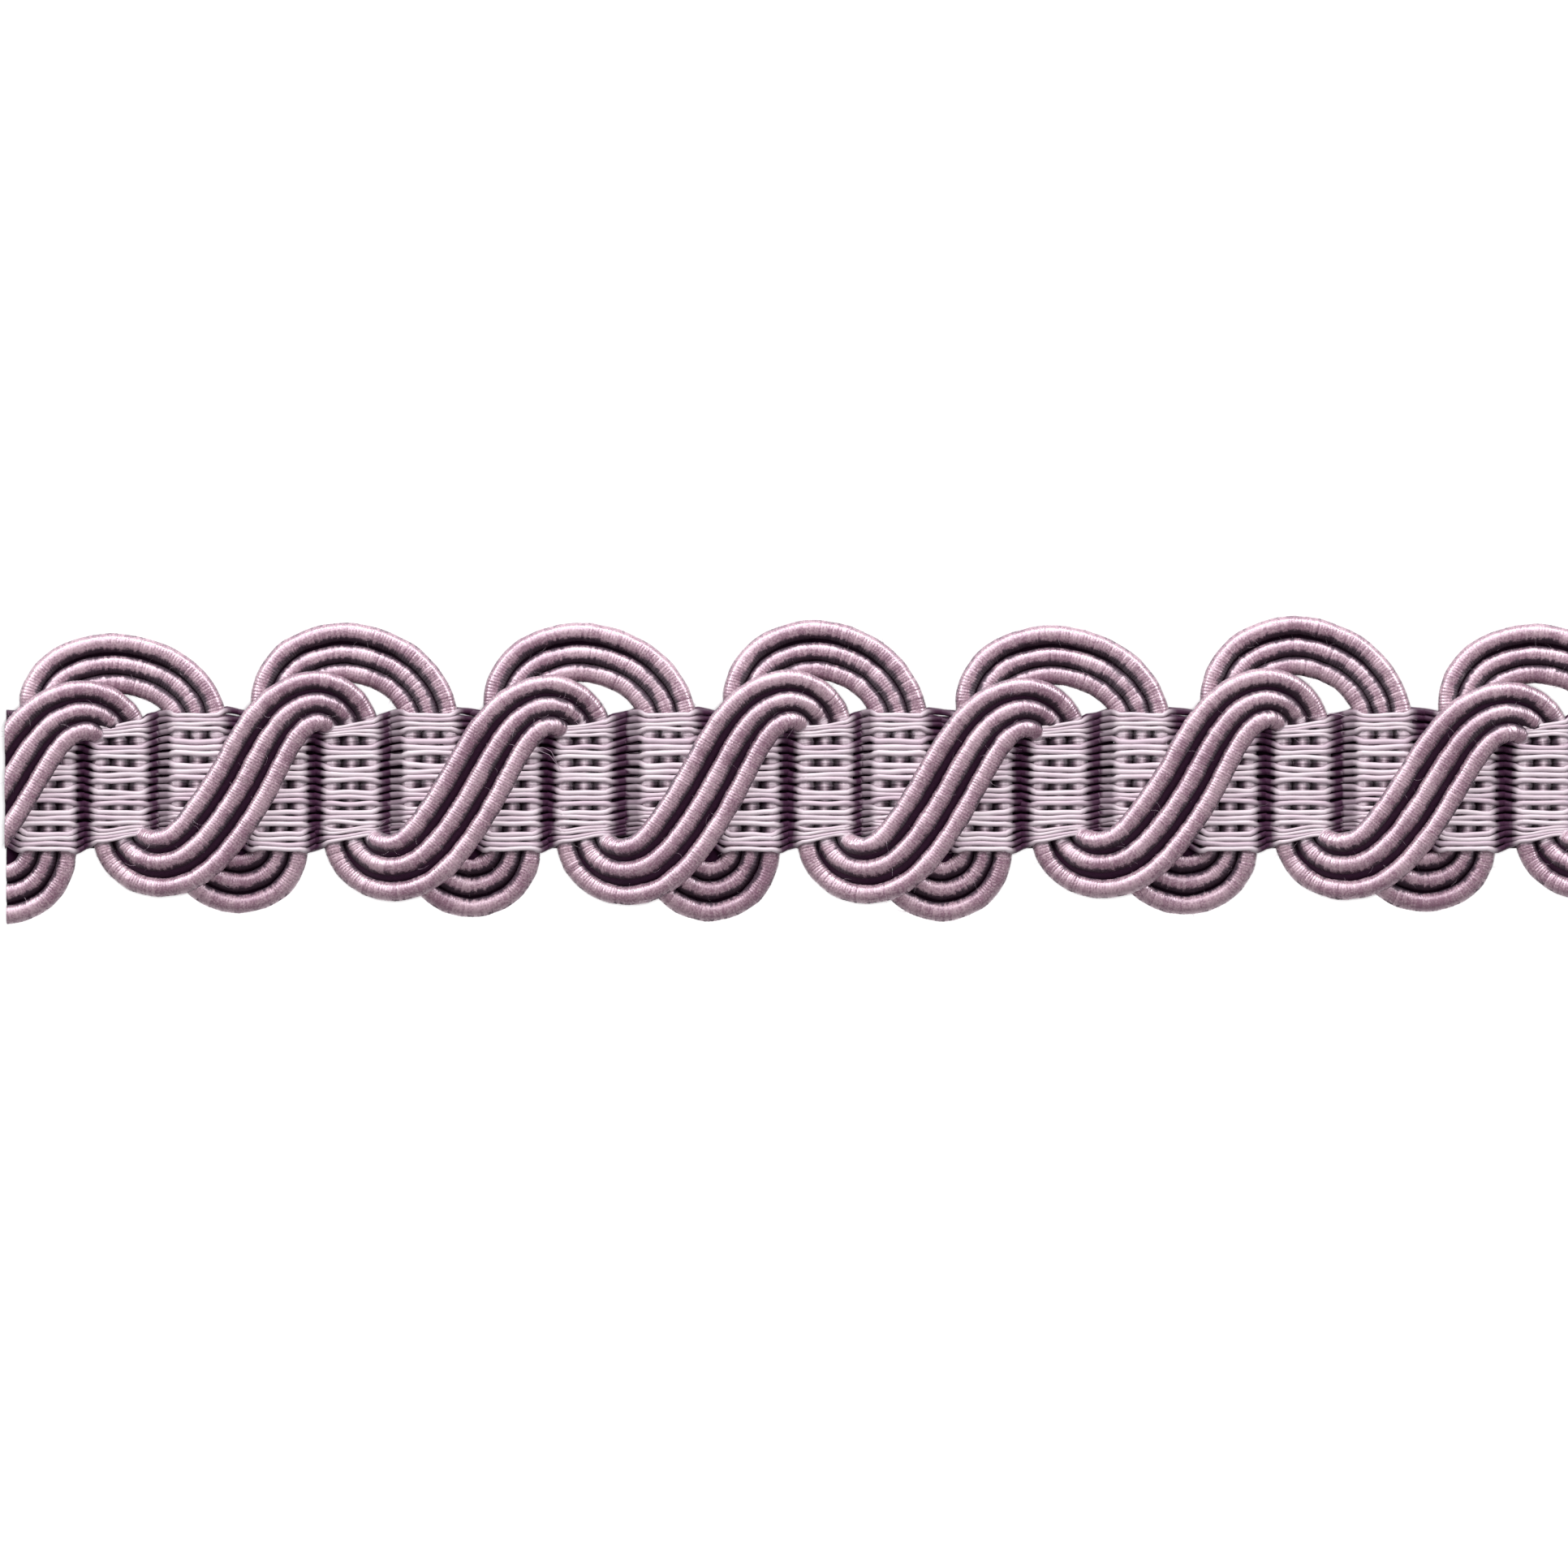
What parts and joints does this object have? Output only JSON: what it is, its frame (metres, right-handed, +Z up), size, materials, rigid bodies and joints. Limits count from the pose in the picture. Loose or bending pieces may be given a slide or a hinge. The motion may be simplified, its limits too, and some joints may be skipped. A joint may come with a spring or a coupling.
{
  "type": "gimp braid trim",
  "caption": "Cut length of scroll gimp braid: cords in sets of three loop through a narrow woven band and cross its face in slanting scrolls, for edging upholstery, lampshades and curtains.",
  "frame": {"origin": "middle of the braid's length and width, on the surface that it lies on", "axes": "+X along the braid, +Y across it towards the wide back arches, +Z up from its flat back to its face"},
  "size_m": [0.117, 0.0226, 0.0041],
  "materials": {
    "gimp_cord": "lustrous wrapped rayon in a dusty mauve",
    "binding_thread": "soft sheen of fine mauve threads"
  },
  "bodies": {
    "root": {"front_cord_1": "gimp_cord", "front_cord_2": "gimp_cord", "front_cord_3": "gimp_cord", "back_cord_1": "gimp_cord", "back_cord_2": "gimp_cord", "back_cord_3": "gimp_cord", "thread_band": "binding_thread"}
  },
  "joints": []
}
